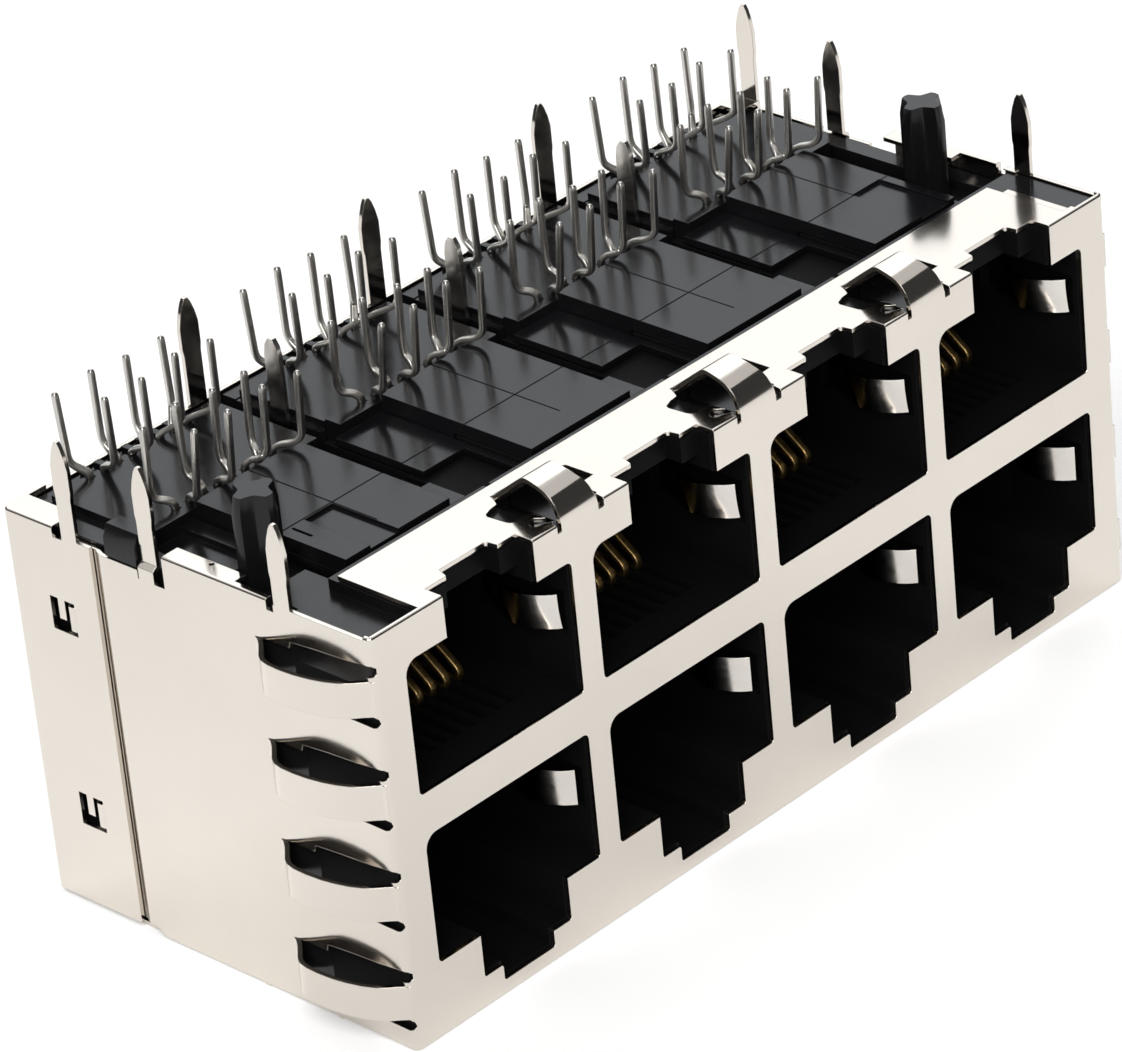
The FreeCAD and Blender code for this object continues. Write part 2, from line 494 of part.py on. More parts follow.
def opening(cx, upper):
    """Outline cutter for one port in the front plate."""
    h = D["port_half"]
    if upper:
        z0, z1 = D["up_low"], D["up_high"]
    else:
        z0, z1 = D["down_low"], D["down_high"]
    main = box(cx - h, cx + h, -1, T + 1, z0, z1)
    def near(e, x, z):
        v = e.Vertexes
        return abs(v[0].X - v[-1].X) < 1e-6 and abs(v[0].Z - v[-1].Z) < 1e-6 and abs(v[0].X - x) < 1e-3 and abs(v[0].Z - z) < 1e-3
    main = main.makeFillet(0.85, [e for e in main.Edges if near(e, cx - h, z1)])
    main = main.makeFillet(0.4, [e for e in main.Edges if near(e, cx + h, z1)])
    main = main.makeFillet(0.28, [e for e in main.Edges if near(e, cx - h, z0) or near(e, cx + h, z0)])
    kl, kr, dl, dr = D["key_left"], D["key_right"], D["key_deep_left"], D["key_deep_right"]
    if upper:
        key = box(cx - kl, cx + kr, -1, T + 1, z1 - 1.2, HZ + 1)
        top = prism([(cx - kl, -1, HZ - 1.2), (cx + kr, -1, HZ - 1.2), (cx + kr, D["notch_shallow"], HZ - 1.2),
                     (cx + dr + 0.26, D["notch_shallow"], HZ - 1.2), (cx + dr + 0.1, D["notch_shallow"] + 0.12, HZ - 1.2),
                     (cx + dr, D["notch_deep"] - 0.1, HZ - 1.2), (cx + dr - 0.1, D["notch_deep"], HZ - 1.2), (cx - dl + 0.42, D["notch_deep"], HZ - 1.2),
                     (cx - dl + 0.22, D["notch_shallow"] + 0.34, HZ - 1.2), (cx - dl + 0.1, D["notch_shallow"] + 0.14, HZ - 1.2), (cx - dl - 0.1, D["notch_shallow"] + 0.04, HZ - 1.2),
                     (cx - kl + 0.5, D["notch_shallow"] - 0.04, HZ - 1.2), (cx - kl + 0.34, 0.62, HZ - 1.2), (cx - kl + 0.2, 0.3, HZ - 1.2), (cx - kl, 0.12, HZ - 1.2)], (0, 0, 3))
        return Part.Compound([main, key, top]), [main, key, top]
    a, b = D["key_shallow_z"], D["key_deep_z"]
    c = 0.1
    key = prism([(cx - kl, -1, z0 + 1), (cx - kl, -1, a + c), (cx - kl + c, -1, a), (cx - dl - c, -1, a), (cx - dl, -1, a - c),
                 (cx - dl, -1, b + c), (cx - dl + c, -1, b), (cx + dr - c, -1, b), (cx + dr, -1, b + c), (cx + dr, -1, a - c),
                 (cx + dr + c, -1, a), (cx + kr - c, -1, a), (cx + kr, -1, a + c), (cx + kr, -1, z0 + 1)], (0, T + 2, 0))
    return Part.Compound([main, key]), [main, key]


# front shield: port face, board flange, both sides and the cover, folded from one sheet
seam = D["seam_y"]
outer = box(-W2, W2, 0, seam, 0, HZ)
outer = outer.makeFillet(0.4, [e for e in outer.Edges if vertical(e) and e.Vertexes[0].Y < 0.01])
outer = outer.makeFillet(0.16, [e for e in outer.Edges if all(abs(v.Z - HZ) < 1e-6 for v in e.Vertexes)
                                and not all(abs(v.Y - seam) < 1e-6 for v in e.Vertexes)])
outer = outer.makeFillet(0.12, [e for e in outer.Edges if all(abs(v.Z) < 1e-6 and v.Y < 0.5 for v in e.Vertexes)])
inner = box(-W2 + T, W2 - T, T, seam + 1, T, HZ - T)
inner = inner.makeFillet(0.12, [e for e in inner.Edges if vertical(e) and e.Vertexes[0].Y < 1]
                         + [e for e in inner.Edges if abs(e.Vertexes[0].X - e.Vertexes[-1].X) > 1 and e.Vertexes[0].Y < 1]
                         + [e for e in inner.Edges if abs(e.Vertexes[0].Y - e.Vertexes[-1].Y) > 1 and e.Vertexes[0].Z > 1])
shell = outer.cut(inner)
shell = shell.fuse(box(-W2 + 0.39, W2 - 0.39, seam - 1.0, DEP - 0.05, 0, T))
cuts = []
for k in range(4):
    cx = P * (k - 1.5)
    cuts += opening(cx, True)[1] + opening(cx, False)[1]
# the board side is open behind the flange
FL, FR, FD = D["flange_left"], D["flange_right"], D["flange_depth"]
cuts.append(box(-W2 + 1.22, W2 - 1.22, FD, seam + 1, HZ - 1.2, HZ + 1))
cuts.append(box(-W2 + T, -FL, T, FD + 0.1, HZ - 1.2, HZ + 1))
cuts.append(box(FR, W2 - T, T, FD + 0.1, HZ - 1.2, HZ + 1))
for s in (-1, 1):
    def sidecut(y0, y1, z0, xin=3.0):
        a, b = (-W2 - 1, -W2 + xin) if s < 0 else (W2 - xin, W2 + 1)
        cuts.append(box(a, b, y0, y1, z0, HZ + 1))
    sidecut(T + 0.25, 6.9, HZ - 0.18)
    sidecut(6.85, 7.35, HZ - 0.62)
    # narrow lip, then the wide fold
    a, b = (-W2 + 0.42, -W2 + 3) if s < 0 else (W2 - 3, W2 - 0.42)
    cuts.append(box(a, b, 5.0, 9.95, HZ - 1.2, HZ + 1))
    sidecut(14.95, 16.95, HZ - 1.9)
    sidecut(16.9, seam + 1, D["side_low_top"])
shell = shell.cut(cuts)
# the cover lies between the side walls, whose lower edges stand a little clear
low_cuts = []
for s in (-1, 1):
    a, b = (-W2 - 1, -W2 + T) if s < 0 else (W2 - T, W2 + 1)
    low_cuts.append(box(a, b, 0.45, seam + 2, -1, 0.12))
    g = (-W2 + T - 0.001, -W2 + 0.39) if s < 0 else (W2 - 0.39, W2 - T + 0.001)
    low_cuts.append(box(g[0], g[1], 0.45, seam + 9, -1, T + 0.01))
    low_cuts.append(prism([(a, 18.8, -1), (a, 18.85, 0.2), (a, 19.05, 0.4), (a, 19.4, 0.52), (a, 22, 0.55), (a, 22, -1)], (b - a, 0, 0)))
    # dimple in the wide fold
    low_cuts.append(Part.makeCylinder(0.15, 3, V(s * (W2 - 0.98), 12.2, HZ - 1)))
shell = shell.cut(low_cuts)
# windows and slots for the three board springs
parts_add = [box(s * (W2 - 0.235) - 0.235, s * (W2 - 0.235) + 0.235, y - 0.16, y + 0.16, 0, T) for s in (-1, 1) for y in (5.6, 11.0)]
spring_cuts = []
for j in range(3):
    x = P * (j - 1)
    zc = HZ - T - 0.06
    spring_cuts.append(prism([(x + 1.2, 4.62, zc), (x - 1.34, 4.62, zc), (x - 1.62, 4.18, zc), (x - 2.2, 4.1, zc), (x - 2.74, 3.9, zc), (x - 2.86, 3.7, zc),
                             (x - 2.84, 3.4, zc), (x - 2.76, 2.5, zc), (x - 2.68, 2.24, zc), (x - 2.5, 2.14, zc), (x - 1.7, 2.14, zc), (x - 1.42, 2.04, zc),
                             (x - 1.26, 1.8, zc), (x - 1.24, 0.5, zc), (x + 1.6, 0.5, zc), (x + 2.24, 0.7, zc), (x + 2.24, 1.45, zc), (x + 2.6, 2.08, zc),
                             (x + 3.53, 2.12, zc), (x + 3.5, 4.05, zc), (x + 2.9, 4.3, zc), (x + 1.6, 4.5, zc)], (0, 0, 1)))
    # relief cuts at both ends of the fold
    spring_cuts.append(prism([(x - 1.55, -0.5, zc - 0.18), (x - 1.55, 0.3, zc - 0.18), (x - 1.15, 0.62, zc - 0.18), (x - 1.15, -0.5, zc - 0.18)], (0, 0, 1.2)))
    spring_cuts.append(prism([(x + 1.56, -0.5, zc - 0.18), (x + 1.56, 0.62, zc - 0.18), (x + 2.1, 0.62, zc - 0.18), (x + 1.92, -0.5, zc - 0.18)], (0, 0, 1.2)))
    # slit beside the spring, at the front left
    spring_cuts.append(prism([(x - 2.37, 0.96, zc), (x - 2.2, 0.8, zc), (x - 1.7, 0.7, zc), (x - 1.1, 0.42, zc), (x - 1.1, 0.9, zc), (x - 1.3, 1.12, zc),
                              (x - 1.64, 1.56, zc), (x - 2.0, 1.5, zc), (x - 2.26, 1.28, zc)], (0, 0, 1)))
    line = [(0.0, HZ - 0.6), (0.0, HZ - 0.12), (0.03, HZ + 0.06), (0.1, HZ + 0.3), (0.2, HZ + 0.56), (0.34, HZ + 0.84), (0.5, HZ + 1.08), (0.68, HZ + 1.28),
            (0.92, HZ + 1.45), (1.2, HZ + 1.59), (1.55, HZ + 1.71), (1.95, HZ + 1.82), (2.2, HZ + 1.88), (2.42, HZ + 1.9), (2.62, HZ + 1.84), (2.84, HZ + 1.7),
            (3.2, HZ + 1.42), (3.9, HZ + 0.86), (4.5, HZ + 0.36), (4.74, HZ + 0.16), (4.9, HZ + 0.06), (5.1, HZ)]
    ol = offset_strip([(a, b) for a, b in line][::-1], T)
    strip = prism([(x - 1.22, a, b) for a, b in ol], (2.76, 0, 0))
    strip = strip.cut(prism([(x + 1.54, -1.0, HZ - 1.0), (x + 1.54, 0.05, HZ - 1.0), (x + 1.36, 0.45, HZ - 1.0), (x + 1.14, 0.95, HZ - 1.0), (x + 1.02, 1.6, HZ - 1.0),
                             (x + 1.0, 2.2, HZ - 1.0), (x + 1.0, 6.0, HZ - 1.0), (x + 2.5, 6.0, HZ - 1.0), (x + 2.5, -1.0, HZ - 1.0)], (0, 0, 4)))
    parts_add.append(strip)
# side springs: sheared strips bowed outward, slots above and below
LP, LT, LH, LB = D["lance_pitch"], D["lance_top"], D["lance_height"], D["lance_bow"]
bow = [(0.35, 0.0), (0.7, 0.28), (1.1, 0.66), (1.6, 1.0), (2.3, 1.3), (3.1, 1.52), (4.0, 1.68), (5.0, 1.75), (5.9, 1.72), (6.5, 1.58),
       (6.95, 1.28), (7.35, 0.86), (7.8, 0.42), (8.2, 0.12), (8.5, 0.0)]
for i in range(4):
    zt = LT - LP * i
    zb = zt - LH
    for s in (-1, 1):
        a, b = (-W2 - 1, -W2 + T + 0.3) if s < 0 else (W2 - T - 0.3, W2 + 1)
        top_slot = [(8.42, zt), (8.42, zt + 0.04), (6.0, zt + 0.12), (5.9, zt + 0.5), (4.0, zt + 0.66), (2.0, zt + 0.76), (0.55, zt + 0.92),
                    (0.15, zt + 0.92), (0.02, zt + 0.78), (0.02, zt + 0.45), (0.15, zt + 0.28), (0.5, zt + 0.22), (0.5, zt)]
        low_slot = [(0.5, zb), (0.3, zb), (0.1, zb - 0.12), (0.05, zb - 0.38), (0.2, zb - 0.6), (0.45, zb - 0.68), (8.0, zb - 0.6), (8.42, zb)]
        for ol in (top_slot, low_slot):
            spring_cuts.append(prism([(a, y, z) for y, z in ol], (b - a, 0, 0)))
        spring_cuts.append(box(a, b, 0.5, 8.42, zb - 0.02, zt + 0.02))
        ol = offset_strip([(y, v) for y, v in [(0.1, 0.0)] + bow + [(8.8, 0.0)]], -T)
        strip = prism([(s * (W2 + v), y, zb) for y, v in ol], (0, 0, LH))
        parts_add.append(strip)
shell = shell.cut(spring_cuts)
# joggled latch strip that passes inside the rear shield
for s in (-1, 1):
    x0 = W2 * s
    jog = [(seam - 0.35, 0.0), (seam + 0.25, 0.0), (seam + 0.45, -0.03), (seam + 0.7, -0.14), (seam + 0.92, -0.27), (seam + 1.1, -0.3), (22.0, -0.3)]
    ol = offset_strip(jog, -T)
    parts_add.append(prism([(s * (W2 + v), y, 0.6) for y, v in ol], (0, 0, D["side_low_top"] - 0.6)))
    # hooks that snap into the windows of the rear shield
    for zc in (17.5, 5.35):
        hook = [(21.5, -0.3), (22.42, -0.3), (22.45, -0.1), (22.52, -0.03), (22.88, -0.03), (22.88, -0.28),
                (22.72, -0.32), (22.64, -0.55), (21.5, -0.55)]
        parts_add.append(prism([(s * (W2 + v), y, zc + 0.22) for y, v in hook], (0, 0, 1.5)))
# solder tails of the side walls: (side, y, offset inward)
for s, y, zb in ((-1, 6.2, 22.0), (-1, 16.3, 22.6), (1, 5.6, 22.0), (1, 19.2, 22.4)):
    inset = 0.32 if y > 10 else 0.0
    xx = s * (W2 - inset) if s < 0 else s * (W2 - inset) - T
    blade = tail_blade(xx, y, HZ - 0.75 if inset else HZ - 0.6, D["tail_top"] + 0.1, D["tail_width"], T)
    parts_add.append(blade)
    if inset:
        st = offset_strip([(0.0, zb - 0.2), (0.0, HZ - 1.2), (-0.32, HZ - 0.95), (-0.32, HZ - 0.6)], T)
        parts_add.append(prism([(s * (W2 + v), y - D["tail_width"] * 0.5, z) for v, z in st], (0, D["tail_width"], 0)))
front = shell.fuse(parts_add)
front = front.removeSplitter()
put("front_shield", front)

# rear shield: back wall, side wings and narrow folds on the board side
y0 = 20.56
RT = D["rear_top"]
outer = box(-W2, W2, y0, DEP, 0.32, RT)
outer = outer.makeFillet(0.4, [e for e in outer.Edges if vertical(e) and e.Vertexes[0].Y > DEP - 0.01])
outer = outer.makeFillet(0.16, [e for e in outer.Edges if all(abs(v.Z - RT) < 1e-6 for v in e.Vertexes)
                                and not all(abs(v.Y - y0) < 1e-6 for v in e.Vertexes)])
inner = box(-W2 + T, W2 - T, y0 - 1, DEP - T, -1, RT - T)
inner = inner.makeFillet(0.12, [e for e in inner.Edges if vertical(e) and e.Vertexes[0].Y > DEP - 1]
                         + [e for e in inner.Edges if abs(e.Vertexes[0].Y - e.Vertexes[-1].Y) > 1 and e.Vertexes[0].Z > 1]
                         + [e for e in inner.Edges if abs(e.Vertexes[0].X - e.Vertexes[-1].X) > 1 and e.Vertexes[0].Y > DEP - 1 and e.Vertexes[0].Z > 1])
rear = outer.cut(inner)
rear = rear.cut(box(-W2 + 1.75, W2 - 1.75, y0 - 1, DEP - T, RT - 1, RT + 1))
rear = rear.cut(box(-W2 + 3.0, W2 - 3.0, DEP - T - 0.6, DEP + 1, RT - 0.25, RT + 1))
for s in (-1, 1):
    a, b = (-W2 - 1, -W2 + 3) if s < 0 else (W2 - 3, W2 + 1)
    rear = rear.cut(box(a, b, y0 - 1, 22.6 if s < 0 else 25.2, RT - 0.42, RT + 1))
    rear = rear.cut(box(a, b, 22.55 if s < 0 else 25.1, 23.35 if s < 0 else 25.4, RT - 0.6, RT + 1))
    for zc in (17.5, 5.35):
        # the window leaves a tongue that hangs from its upper edge
        rear = rear.cut([box(a, b, 22.38, 23.14, zc, zc + 2.0), box(a, b, 23.64, 24.25, zc, zc + 2.0), box(a, b, 23.1, 23.7, zc, zc + 0.78)])
for s, y in ((-1, 22.05), (1, 26.0)):
    xx = s * W2 if s < 0 else s * W2 - T
    rear = rear.fuse(tail_blade(xx, y, RT - 1.0, D["tail_top"] + (0.0 if s < 0 else 0.6), D["tail_width"], T))
for j in range(3):
    rear = rear.fuse(tail_blade(P * (j - 1) - 1.04, DEP - T, RT - 1.0, D["rear_tail_top"], 1.22, T, "x"))
rear = rear.removeSplitter()
put("rear_shield", rear)


# ---------------------------------------------------------------- contacts
def ribbon(stations, width, thk):
    """Bent rectangular wire through (x, y, z) stations; its wide face keeps to X."""
    n = len(stations)
    rings = []
    for i, p in enumerate(stations):
        a = stations[max(i - 1, 0)]
        b = stations[min(i + 1, n - 1)]
        d1 = (p[1] - a[1], p[2] - a[2]) if i else (b[1] - p[1], b[2] - p[2])
        d2 = (b[1] - p[1], b[2] - p[2]) if i < n - 1 else d1
        l1, l2 = math.hypot(*d1), math.hypot(*d2)
        n1 = (-d1[1] / l1, d1[0] / l1)
        n2 = (-d2[1] / l2, d2[0] / l2)
        m = (n1[0] + n2[0], n1[1] + n2[1])
        c = m[0] * n1[0] + m[1] * n1[1]
        m = (m[0] / c, m[1] / c)
        w = (p[3] if len(p) > 3 else width) * 0.5
        h = (p[4] if len(p) > 4 else thk) * 0.5
        rings.append([V(p[0] - w, p[1] - m[0] * h, p[2] - m[1] * h), V(p[0] + w, p[1] - m[0] * h, p[2] - m[1] * h),
                      V(p[0] + w, p[1] + m[0] * h, p[2] + m[1] * h), V(p[0] - w, p[1] + m[0] * h, p[2] + m[1] * h)])
    faces = [Part.Face(Part.makePolygon(rings[0] + [rings[0][0]])), Part.Face(Part.makePolygon(rings[-1] + [rings[-1][0]]))]
    for r0, r1 in zip(rings, rings[1:]):
        for e in range(4):
            f = (e + 1) % 4
            quad = [r0[e], r0[f], r1[f], r1[e]]
            plane_n = (quad[1] - quad[0]).cross(quad[3] - quad[0])
            off = abs((quad[2] - quad[0]).dot(plane_n)) / max(plane_n.Length, 1e-9)
            if off < 1e-6:
                faces.append(Part.Face(Part.makePolygon(quad + [quad[0]])))
            else:
                faces.append(Part.Face(Part.makePolygon([quad[0], quad[1], quad[2], quad[0]])))
                faces.append(Part.Face(Part.makePolygon([quad[0], quad[2], quad[3], quad[0]])))
    solid = Part.Solid(Part.makeShell(faces))
    if solid.Volume < 0:
        solid = Part.Solid(solid.Shells[0].reversed())
    return solid


def arc(cy, cz, r, a0, a1, steps):
    out = []
    for i in range(steps + 1):
        a = math.radians(a0 + (a1 - a0) * i / steps)
        out.append((cy + r * math.cos(a), cz + r * math.sin(a)))
    return out


# where each pin stands above its foot and where it ends, (x, y, x, y) from the
# middle of its column and the port face; they lean a little, as formed
ROW_A = [(-4.43, 25.98, -4.49, 26.25), (-1.71, 26.29, -1.58, 26.54), (0.66, 26.12, 0.63, 26.17), (3.28, 26.07, 3.16, 26.11)]
ROW_B = [(-3.2, 23.68, -3.33, 23.67), (-0.6, 23.66, -0.69, 23.6), (2.26, 24.21, 2.25, 24.12), (4.47, 23.73, 4.43, 23.65)]
ROW_C = [(-4.59, 19.55, -4.50, 19.57), (-1.63, 19.99, -1.66, 20.04), (0.58, 19.66, 0.54, 19.53), (2.93, 19.69, 2.85, 19.5)]
ROW_D = [(-3.29, 17.38, -3.2, 17.06), (-0.81, 17.29, -0.7, 17.12), (2.18, 17.66, 2.26, 17.54), (4.4, 17.29, 4.4, 17.08)]
CP, CW, CT = D["contact_pitch"], D["contact_width"], D["contact_thk"]


def contact(cx, i, upper):
    xl = CP * (i - 3.5)
    yc = D["comb_front_y"] if upper else D["comb_rear_y"]
    rear_row = (ROW_C if upper else ROW_A)
    front_row = (ROW_D if upper else ROW_B)
    bx, by, tx, ty = (rear_row if i % 2 == 0 else front_row)[i // 2]
    plast = 24.25 if upper else 24.05
    zb = 25.45
    st = []
    # spring beam in the port, then the run under the comb
    if upper:
        zr = D["up_low"] - 0.24
        st += [(cx + xl, 11.6, zr + 3.05), (cx + xl, 10.9, zr + 3.25), (cx + xl, 10.4, zr + 3.32), (cx + xl, 9.9, zr + 3.2), (cx + xl, 9.45, zr + 2.98)]
        st += [(cx + xl, y, z) for y, z in arc(6.95, zr + 0.52, 0.5, 128, 258, 8)]
        st += [(cx + xl, 7.4, zr)]
        st += [(cx + xl, y, z) for y, z in arc(yc - 0.55, zr + 0.55, 0.55, -90, 0, 4)]
    else:
        zr = D["down_high"] + 0.24
        st += [(cx + xl, 11.6, zr - 3.05), (cx + xl, 10.9, zr - 3.25), (cx + xl, 10.4, zr - 3.32), (cx + xl, 9.9, zr - 3.2), (cx + xl, 9.45, zr - 2.98)]
        st += [(cx + xl, y, z) for y, z in arc(6.95, zr - 0.52, 0.5, -128, -258, 8)]
        st += [(cx + xl, 7.4, zr)]
        st += [(cx + xl, y, z) for y, z in arc(yc - 0.55, zr + 0.55, 0.55, -90, 0, 4)]
    # rise to the board side, sloping foot, straight pin with a narrow end
    st += [(cx + xl, yc, plast)]
    for along, z in ((0.12, plast + 0.24), (0.34, plast + 0.44), (0.76, zb - 0.62), (0.93, zb - 0.36)):
        st += [(cx + xl + (bx - xl) * along, yc + (by - yc) * along, z)]
    st += [(cx + bx, by, zb, 0.34, 0.32)]
    st += [(cx + bx + (tx - bx) * 0.9, by + (ty - by) * 0.9, D["pin_top"] - 0.35, 0.34, 0.32)]
    st += [(cx + tx, ty, D["pin_top"], 0.2, 0.19)]
    return ribbon(st, CW, CT)


for k in range(4):
    cx = P * (k - 1.5)
    for upper in (True, False):
        solids = [contact(cx, i, upper) for i in range(8)]
        put("%s_contacts_%d" % ("upper" if upper else "lower", k + 1), Part.Compound(solids))

doc.recompute()

# ---------------------------------------------------------------- write
NODES = ["front_shield", "rear_shield", "housing", "end_spring_plate"]
for n in range(1, 5):
    NODES += ["upper_carrier_%d" % n, "lower_carrier_%d" % n, "lead_retainer_%d" % n,
              "upper_contacts_%d" % n, "lower_contacts_%d" % n]
for n in range(1, 4):
    NODES.append("divider_plate_%d" % n)
bad = []
for o in doc.Objects:
    if "Invalid" in o.State or "Error" in o.State:
        bad.append("%s state %s" % (o.Name, o.State))
for name in NODES:
    o = doc.getObjectsByLabel(name)[0]
    if o.Shape.isNull() or not o.Shape.isValid():
        bad.append("%s shape" % name)
    else:
        print("%-22s solids %2d volume %9.2f" % (name, len(o.Shape.Solids), o.Shape.Volume))
if bad:
    raise RuntimeError("; ".join(bad))
os.makedirs("parts", exist_ok=True)
for name in NODES:
    doc.getObjectsByLabel(name)[0].Shape.exportStep("parts/%s.step" % name)
print("wrote", len(NODES))
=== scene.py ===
import json
import math
import bpy
import bmesh
from mathutils import Matrix, Vector


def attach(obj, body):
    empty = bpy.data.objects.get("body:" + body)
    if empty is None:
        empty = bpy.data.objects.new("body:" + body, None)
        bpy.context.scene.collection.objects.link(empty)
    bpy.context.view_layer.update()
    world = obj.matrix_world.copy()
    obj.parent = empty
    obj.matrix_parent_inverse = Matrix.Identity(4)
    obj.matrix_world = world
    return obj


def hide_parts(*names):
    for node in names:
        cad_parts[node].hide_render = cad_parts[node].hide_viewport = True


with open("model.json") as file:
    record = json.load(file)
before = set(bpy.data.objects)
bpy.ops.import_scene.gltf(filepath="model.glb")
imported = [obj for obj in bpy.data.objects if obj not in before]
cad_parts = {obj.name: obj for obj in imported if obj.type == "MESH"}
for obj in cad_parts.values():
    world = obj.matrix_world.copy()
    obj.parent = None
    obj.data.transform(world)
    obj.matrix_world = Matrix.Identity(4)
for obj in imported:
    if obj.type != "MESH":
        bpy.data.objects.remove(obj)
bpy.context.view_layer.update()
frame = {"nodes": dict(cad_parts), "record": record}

MM = 0.001
FY = -13.575          # port face in the row frame, mm
NODES = frame["nodes"]
scene = bpy.context.scene
scene.view_settings.view_transform = "Standard"
scene.view_settings.look = "None"


# ------------------------------------------------------------ node helpers
class Mat:
    """A node material built with short calls; links go from socket to socket."""

    def __init__(self, name):
        self.m = bpy.data.materials.new(name)
        self.m.use_nodes = True
        self.t = self.m.node_tree
        self.t.nodes.clear()
        self.out = self.t.nodes.new("ShaderNodeOutputMaterial")
        self.b = self.t.nodes.new("ShaderNodeBsdfPrincipled")
        self.t.links.new(self.b.outputs[0], self.out.inputs[0])
        self.pos = self.n("ShaderNodeTexCoord").outputs["Object"]

    def n(self, kind, **kw):
        node = self.t.nodes.new(kind)
        for k, v in kw.items():
            setattr(node, k, v)
        return node

    def put(self, value, socket):
        if hasattr(value, "links"):
            self.t.links.new(value, socket)
        else:
            socket.default_value = value

    def set(self, **kw):
        for k, v in kw.items():
            self.put(v, self.b.inputs[k.replace("_", " ")])

    def noise(self, scale, detail=3.0, rough=0.55, vec=None, distort=0.0):
        t = self.n("ShaderNodeTexNoise")
        t.inputs["Scale"].default_value = scale
        t.inputs["Detail"].default_value = detail
        t.inputs["Roughness"].default_value = rough
        t.inputs["Distortion"].default_value = distort
        self.put(vec or self.pos, t.inputs["Vector"])
        return t.outputs[0]

    def stretch(self, sx, sy, sz, rot=(0, 0, 0)):
        m = self.n("ShaderNodeMapping")
        m.inputs["Scale"].default_value = (sx, sy, sz)
        m.inputs["Rotation"].default_value = rot
        self.put(self.pos, m.inputs["Vector"])
        return m.outputs[0]

    def math(self, op, a, b=0.0, clamp=False):
        m = self.n("ShaderNodeMath", operation=op, use_clamp=clamp)
        self.put(a, m.inputs[0])
        self.put(b, m.inputs[1])
        return m.outputs[0]

    def ramp(self, fac, stops):
        r = self.n("ShaderNodeValToRGB")
        el = r.color_ramp.elements
        while len(el) < len(stops):
            el.new(0.5)
        for e, (p, c) in zip(el, stops):
            e.position = p
            e.color = c if len(c) == 4 else (*c, 1.0)
        self.put(fac, r.inputs[0])
        return r.outputs[0]

    def span(self, fac, a, b, lo, hi):
        m = self.n("ShaderNodeMapRange")
        m.inputs["From Min"].default_value = a
        m.inputs["From Max"].default_value = b
        m.inputs["To Min"].default_value = lo
        m.inputs["To Max"].default_value = hi
        self.put(fac, m.inputs["Value"])
        return m.outputs[0]

    def mix(self, fac, a, b):
        m = self.n("ShaderNodeMix", data_type="RGBA")
        self.put(fac, m.inputs[0])
        self.put(a if hasattr(a, "links") else (*a, 1.0)[:4], m.inputs[6])
        self.put(b if hasattr(b, "links") else (*b, 1.0)[:4], m.inputs[7])
        return m.outputs[2]

    def bump(self, height, strength, distance, normal=None):
        b = self.n("ShaderNodeBump")
        b.inputs["Strength"].default_value = strength
        b.inputs["Distance"].default_value = distance
        self.put(height, b.inputs["Height"])
        if normal is not None:
            self.put(normal, b.inputs["Normal"])
        return b.outputs[0]

    def edge(self, radius):
        """Normal that turns softly over the edges, as on sheared or moulded ones."""
        b = self.n("ShaderNodeBevel", samples=6)
        b.inputs["Radius"].default_value = radius
        return b.outputs[0]

    def axis(self, i):
        s = self.n("ShaderNodeSeparateXYZ")
        self.put(self.pos, s.inputs[0])
        return s.outputs[i]


# ------------------------------------------------------------ materials
def shield_metal():
    """Tinned sheet: a near mirror with slow waves, rolling grain, smears and fine scratches."""
    m = Mat("shield_plate_look")
    grain = m.noise(900.0, 2.0, 0.6, m.stretch(0.25, 0.25, 3.0))
    speck = m.noise(5200.0, 2.0, 0.5)
    cloud = m.noise(90.0, 4.0, 0.6)
    wave = m.noise(55.0, 1.0, 0.4)
    smear = m.noise(38.0, 5.0, 0.65, distort=0.6)
    tone = m.mix(m.span(cloud, 0.3, 0.7, 0.0, 1.0), (0.643, 0.597, 0.541), (0.674, 0.627, 0.568))
    tone = m.mix(m.span(speck, 0.62, 0.80, 0.0, 0.25), tone, (0.59, 0.545, 0.49))
    scratch = m.n("ShaderNodeTexVoronoi", feature="DISTANCE_TO_EDGE")
    scratch.inputs["Scale"].default_value = 210.0
    m.put(m.stretch(1.0, 0.12, 0.12, (0.3, 0.2, 0.5)), scratch.inputs["Vector"])
    line = m.span(scratch.outputs[0], 0.0, 0.006, 1.0, 0.0)
    line = m.math("MULTIPLY", line, m.span(smear, 0.56, 0.66, 0.0, 0.35), True)
    tone = m.mix(line, tone, (0.78, 0.74, 0.69))
    rough = m.span(smear, 0.3, 0.7, 0.09, 0.15)
    rough = m.math("ADD", rough, m.span(grain, 0.3, 0.7, -0.01, 0.02))
    m.set(Base_Color=tone, Metallic=1.0, Roughness=rough)
    m.set(Normal=m.bump(grain, 0.03, 0.00002, m.bump(wave, 0.05, 0.0002, m.bump(speck, 0.03, 0.00001, m.edge(0.00005)))))
    return m.m


def spring_metal():
    m = Mat("spring_plate_look")
    grain = m.noise(1500.0, 3.0, 0.6, m.stretch(1.0, 0.3, 2.0))
    cloud = m.noise(260.0, 4.0, 0.6)
    tone = m.mix(m.span(cloud, 0.3, 0.7, 0.0, 1.0), (0.62, 0.59, 0.55), (0.70, 0.67, 0.63))
    # painted shade: the tabs are made much darker deep in the ports, below the tile tops, where the port keeps the
    # light off them
    deep = m.math("MULTIPLY", m.span(m.axis(1), (FY + 2.4) * MM, (FY + 3.2) * MM, 0.0, 1.0), m.math("LESS_THAN", m.axis(2), 0.0235), True)
    tone = m.mix(deep, tone, (0.085, 0.078, 0.070))
    m.set(Base_Color=tone, Metallic=1.0, Roughness=m.span(grain, 0.3, 0.7, 0.14, 0.22))
    m.set(Normal=m.bump(grain, 0.05, 0.00002, m.edge(0.00004)))
    return m.m


